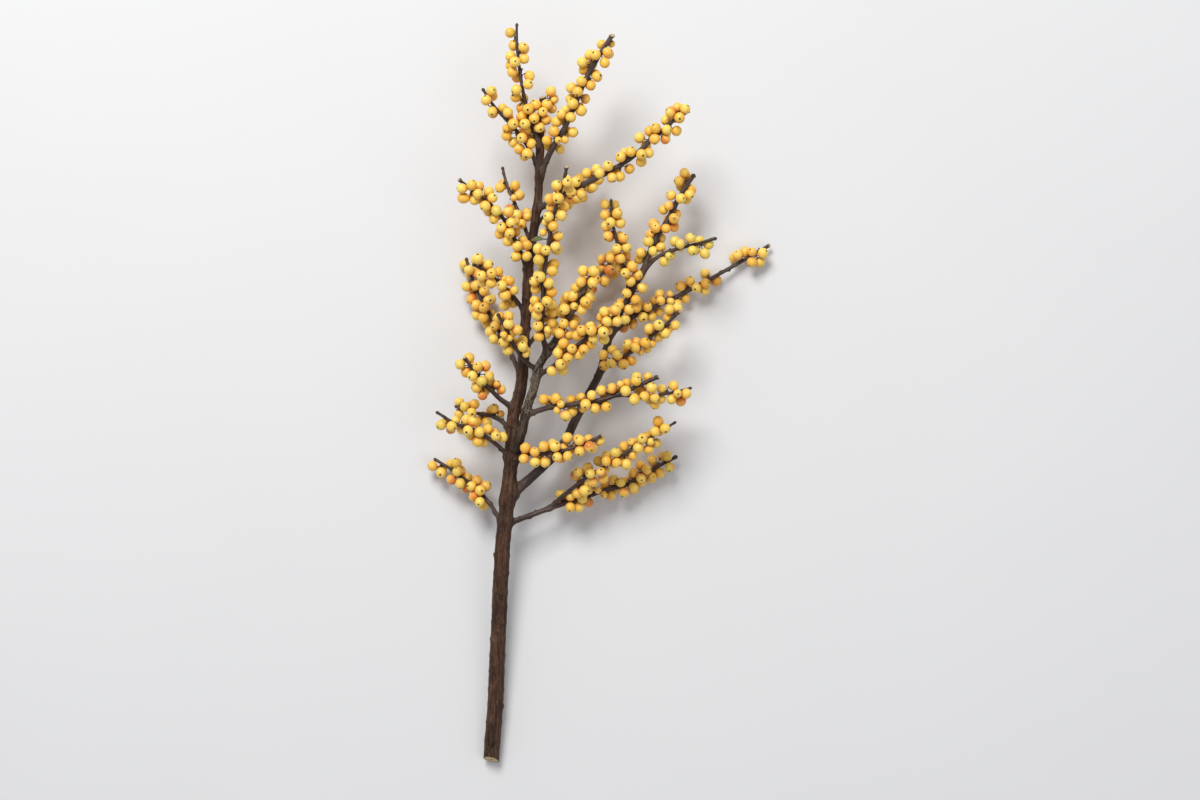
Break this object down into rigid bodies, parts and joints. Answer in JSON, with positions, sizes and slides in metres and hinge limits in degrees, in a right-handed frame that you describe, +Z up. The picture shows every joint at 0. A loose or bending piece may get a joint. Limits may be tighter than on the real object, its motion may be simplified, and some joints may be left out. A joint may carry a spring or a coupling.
{
  "type": "winterberry branch",
  "caption": "Cut, leafless winterberry branch lying on a surface: dark forked wood whose side shoots carry dense clusters of round yellow berries.",
  "frame": {"origin": "centre of the bounding box, on the flat surface that the branch lies on", "axes": "+Y from the cut foot of the stem towards the tips, +Z up from the surface, +X to the right when the branch is seen from above with its tips away"},
  "size_m": [0.335, 0.712, 0.1418],
  "materials": {
    "bark": "matte",
    "grey_bark": "matte",
    "berry_skin": "satin",
    "leaf": "matte"
  },
  "bodies": {
    "root": {"berries_back_crown": "berry_skin", "berries_back_left": "berry_skin", "berries_back_right": "berry_skin", "berries_crown_front": "berry_skin", "berries_crown_left": "berry_skin", "berries_crown_left_low": "berry_skin", "berries_crown_right": "berry_skin", "berries_far_right": "berry_skin", "berries_far_right_2": "berry_skin", "berries_grey_fork": "berry_skin", "berries_high_right": "berry_skin", "berries_left_crown": "berry_skin", "berries_left_front": "berry_skin", "berries_left_high": "berry_skin", "berries_left_low_front": "berry_skin", "berries_left_mid": "berry_skin", "berries_left_mid_low": "berry_skin", "berries_left_upper": "berry_skin", "berries_low_left": "berry_skin", "berries_low_right_high": "berry_skin", "berries_low_right_long": "berry_skin", "berries_low_right_short": "berry_skin", "berries_main_stem": "berry_skin", "berries_right_fork": "berry_skin", "berries_right_front": "berry_skin", "berries_right_inner": "berry_skin", "berries_right_long": "berry_skin", "berries_right_long_spur": "berry_skin", "berries_right_side": "berry_skin", "berries_right_tip_side": "berry_skin", "grey_fork": "grey_bark", "leaf_remnant": "leaf", "main_stem": "bark", "right_fork": "bark", "shoot_back_crown": "bark", "shoot_back_left": "bark", "shoot_back_right": "bark", "shoot_crown_front": "bark", "shoot_crown_left": "bark", "shoot_crown_left_low": "bark", "shoot_crown_right": "bark", "shoot_far_right": "bark", "shoot_high_right": "bark", "shoot_left_crown": "bark", "shoot_left_front": "bark", "shoot_left_high": "bark", "shoot_left_low_front": "bark", "shoot_left_mid": "bark", "shoot_left_mid_low": "bark", "shoot_left_upper": "bark", "shoot_low_left": "bark", "shoot_low_right_high": "bark", "shoot_low_right_long": "bark", "shoot_low_right_short": "bark", "shoot_right_front": "bark", "shoot_right_inner": "bark", "shoot_right_long": "bark", "shoot_right_long_spur": "bark", "shoot_right_side": "bark", "shoot_right_tip_side": "bark"}
  },
  "joints": []
}
